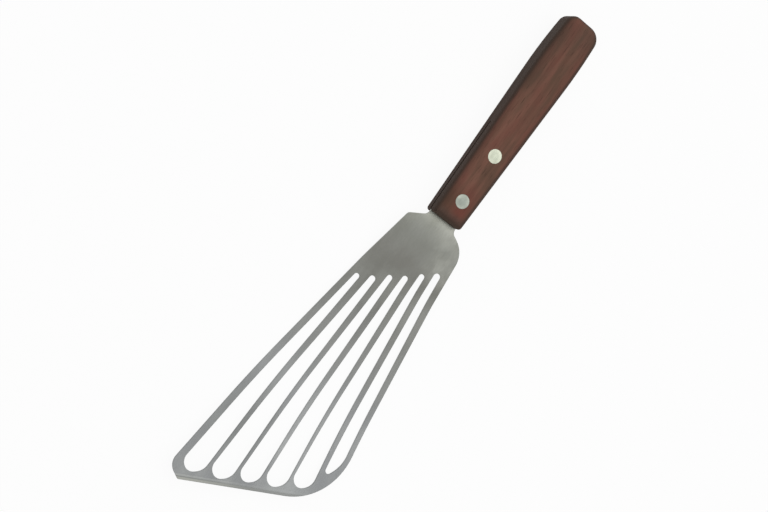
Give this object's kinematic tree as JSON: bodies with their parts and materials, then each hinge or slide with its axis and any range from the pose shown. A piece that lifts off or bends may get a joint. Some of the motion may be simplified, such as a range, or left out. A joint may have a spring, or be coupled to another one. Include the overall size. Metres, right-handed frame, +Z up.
{
  "type": "fish spatula",
  "caption": "Kitchen spatula with a thin skewed steel blade, long slots, a bevelled oblique front edge and a riveted wooden handle.",
  "frame": {"origin": "on the surface it lies on, below the middle of its bounding box", "axes": "+X along the tool towards the blade's nose, +Y towards the blade's short, rounded side, +Z up; the tool lies as it rests on a table, on the handle's lower front edge and the blade's underside"},
  "size_m": [0.3124, 0.081, 0.0202],
  "materials": {
    "blade_steel": "satin, ground along its length",
    "handle_wood": "reddish brown rosewood, oiled",
    "rivet_metal": "ground flush with the wood"
  },
  "bodies": {
    "root": {"blade": "blade_steel", "handle": "handle_wood", "rivet_front_male": "rivet_metal", "rivet_front_female": "rivet_metal", "rivet_rear_male": "rivet_metal", "rivet_rear_female": "rivet_metal"}
  },
  "joints": []
}
